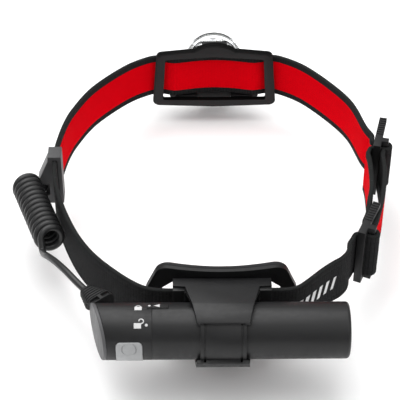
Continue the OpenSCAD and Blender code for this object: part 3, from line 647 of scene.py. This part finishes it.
def sweep(name, line, r, sides, material):
    """A round tube along the line, with flat ends."""
    t = np.gradient(line, axis=0)
    t /= np.linalg.norm(t, axis=1)[:, None]
    u = np.cross(t[0], (0, 0, 1.0))
    u /= np.linalg.norm(u)
    verts, faces = [], []
    for i, p in enumerate(line):
        u = u - t[i] * (u @ t[i])
        u /= np.linalg.norm(u)
        v = np.cross(t[i], u)
        for k in range(sides):
            a = 2 * math.pi * k / sides
            verts.append(tuple(p + r * (math.cos(a) * u + math.sin(a) * v)))
    for i in range(len(line) - 1):
        for k in range(sides):
            a, b = i * sides + k, i * sides + (k + 1) % sides
            faces.append((a, b, b + sides, a + sides))
    faces.append(tuple(range(sides - 1, -1, -1)))
    faces.append(tuple((len(line) - 1) * sides + k for k in range(sides)))
    return add_piece(name, verts, faces, [material], body=None)


lead_line = spline(LEAD_REAR + coil_line() + LEAD_FRONT, LEAD_STEPS)
lead = sweep("lead", lead_line, LEAD_R, LEAD_SIDES, sheath)
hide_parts("lead_rear", "lead_coil", "lead_front")
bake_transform(lead)

# ---------------------------------------------------------------- rear pad cushion
# The pad is curved about a vertical line through (0, PAD_CENTRE_Y)
PAD_CENTRE_Y, PAD_R = 23.5, 112.0
# Height of the crown and of the underside, in from PAD_R, the bound edge's own height, and
# how far in from an edge the foam reaches its full height
PAD_TOP, PAD_BASE, PAD_BINDING, PAD_ROLL = 4.95, 2.06, 0.5, 2.0
PAD_AROUND, PAD_ACROSS = 288, 18
PAD_OUTLINE = rounded_polygon([(28, 17.9), (34.2, 1.8), (34.2, -1.8), (28, -17.9), (-28, -17.9),
                               (-34.2, -1.8), (-34.2, 1.8), (-28, 17.9)], 7)
PAD_WINDOW = rounded_polygon([(21.4, 10.4), (26.6, 5.4), (26.6, -5.4), (21.4, -10.4),
                              (-21.4, -10.4), (-26.6, -5.4), (-26.6, 5.4), (-21.4, 10.4)], 1)
LINING_INSET = 1.3


def reach(outline, angle):
    """How far an outline round the origin reaches at an angle."""
    dx, dy = math.cos(angle), math.sin(angle)
    best = 0.0
    for (ax, ay), (bx, by) in zip(outline, outline[1:] + outline[:1]):
        ex, ey = bx - ax, by - ay
        cross = dx * ey - dy * ex
        if abs(cross) < 1e-9:
            continue
        distance = (ax * ey - ay * ex) / cross
        share = (ax * dy - ay * dx) / cross
        if -1e-6 <= share <= 1 + 1e-6 and distance > best:
            best = distance
    return best


def on_pad(r, angle, depth):
    """A point of the curved pad, r from its middle and depth in from PAD_R."""
    x, z = r * math.cos(angle), r * math.sin(angle)
    return (x, PAD_CENTRE_Y - math.sqrt((PAD_R - depth) ** 2 - x * x), z)


def pad_cushion():
    """Foam with a crowned face, pinched down to a bound edge outside and round the window."""
    verts, faces, kinds, uvs, margins = [], [], [], [], []
    edge_in = PAD_BASE + PAD_BINDING
    for k in range(PAD_AROUND):
        angle = 2 * math.pi * k / PAD_AROUND
        outer, inner = reach(PAD_OUTLINE, angle), reach(PAD_WINDOW, angle)
        radii = []
        for j in range(PAD_ACROSS + 1):
            f = 0.5 - 0.5 * math.cos(math.pi * j / PAD_ACROSS)
            r = outer + (inner - outer) * f
            margin = min(r - inner, outer - r)
            rise = 1 - (1 - min(margin / PAD_ROLL, 1)) ** 2
            crown = edge_in + (PAD_TOP - edge_in) * math.sqrt(max(rise, 0))
            verts.append(on_pad(r, angle, crown))
            radii.append(r)
            margins.append(margin)
        verts += [on_pad(r, angle, PAD_BASE) for r in radii[::-1]]
    stations = PAD_ACROSS + 1
    size = 2 * stations
    for k in range(PAD_AROUND):
        k2 = (k + 1) % PAD_AROUND
        for j in range(size):
            j2 = (j + 1) % size
            faces.append((k * size + j, k2 * size + j, k2 * size + j2, k * size + j2))
            lined = j < PAD_ACROSS and min(margins[k * stations + j],
                                           margins[k * stations + j + 1]) > LINING_INSET
            kinds.append(1 if lined else 0)
            for q in faces[-1]:
                uvs.append((verts[q][0] * MM, verts[q][2] * MM))
    obj = add_piece("pad_cushion", verts, faces, [foam, lining_red], face_materials=kinds)
    band_uv(obj, uvs)
    turn_faces_out(obj)
    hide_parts("rear_pad_cushion", "rear_pad_lining")
    return obj


pad_cushion()

# ---------------------------------------------------------------- stage and light
FLOOR_Z, FLOOR_HALF = -0.029, 3.0
# Light from the walls and from straight overhead
WALLS, CEILING = 0.1, 1.25
# Name, place, side of the square and watts
LAMPS = [("key", (-0.2, 0.2, 0.85), 1.0, 8.5), ("fill", (0.6, -0.5, 0.6), 0.6, 1.0)]


def make_floor():
    mesh = bpy.data.meshes.new("floor")
    s = FLOOR_HALF
    mesh.from_pydata([(-s, -s, FLOOR_Z), (s, -s, FLOOR_Z), (s, s, FLOOR_Z), (-s, s, FLOOR_Z)], [],
                     [(0, 1, 2, 3)])
    n = Nodes("floor_paint")
    tone = n.noise(n.place(), 0.02, 2.0)
    paint = n.mix(n.span(tone, 0.3, 0.7, 0.0, 1.0), (0.93, 0.93, 0.93), (0.96, 0.96, 0.96))
    n.set(Base_Color=paint, Roughness=0.9, Specular_IOR_Level=0.1)
    mesh.materials.append(n.material)
    floor = bpy.data.objects.new("floor", mesh)
    bpy.context.scene.collection.objects.link(floor)


def make_world():
    """A softbox ceiling: bright overhead, dim towards the walls."""
    world = bpy.data.worlds.new("studio")
    world.use_nodes = True
    tree = world.node_tree
    coords = tree.nodes.new("ShaderNodeTexCoord")
    split = tree.nodes.new("ShaderNodeSeparateXYZ")
    ceiling = tree.nodes.new("ShaderNodeMapRange")
    ceiling.inputs["To Min"].default_value = WALLS
    ceiling.inputs["To Max"].default_value = CEILING
    tree.links.new(coords.outputs["Generated"], split.inputs[0])
    tree.links.new(split.outputs[2], ceiling.inputs[0])
    tree.nodes["Background"].inputs[0].default_value = (1, 1, 1, 1)
    tree.links.new(ceiling.outputs[0], tree.nodes["Background"].inputs[1])
    bpy.context.scene.world = world
    bpy.context.scene.view_settings.view_transform = "Standard"


def make_lamps():
    for name, place, size, power in LAMPS:
        lamp = bpy.data.lights.new(name, "AREA")
        lamp.shape = "SQUARE"
        lamp.size, lamp.energy = size, power
        obj = bpy.data.objects.new(name, lamp)
        obj.location = place
        obj.rotation_euler = Vector(place).to_track_quat("Z", "Y").to_euler()
        bpy.context.scene.collection.objects.link(obj)


make_floor()
make_world()
make_lamps()
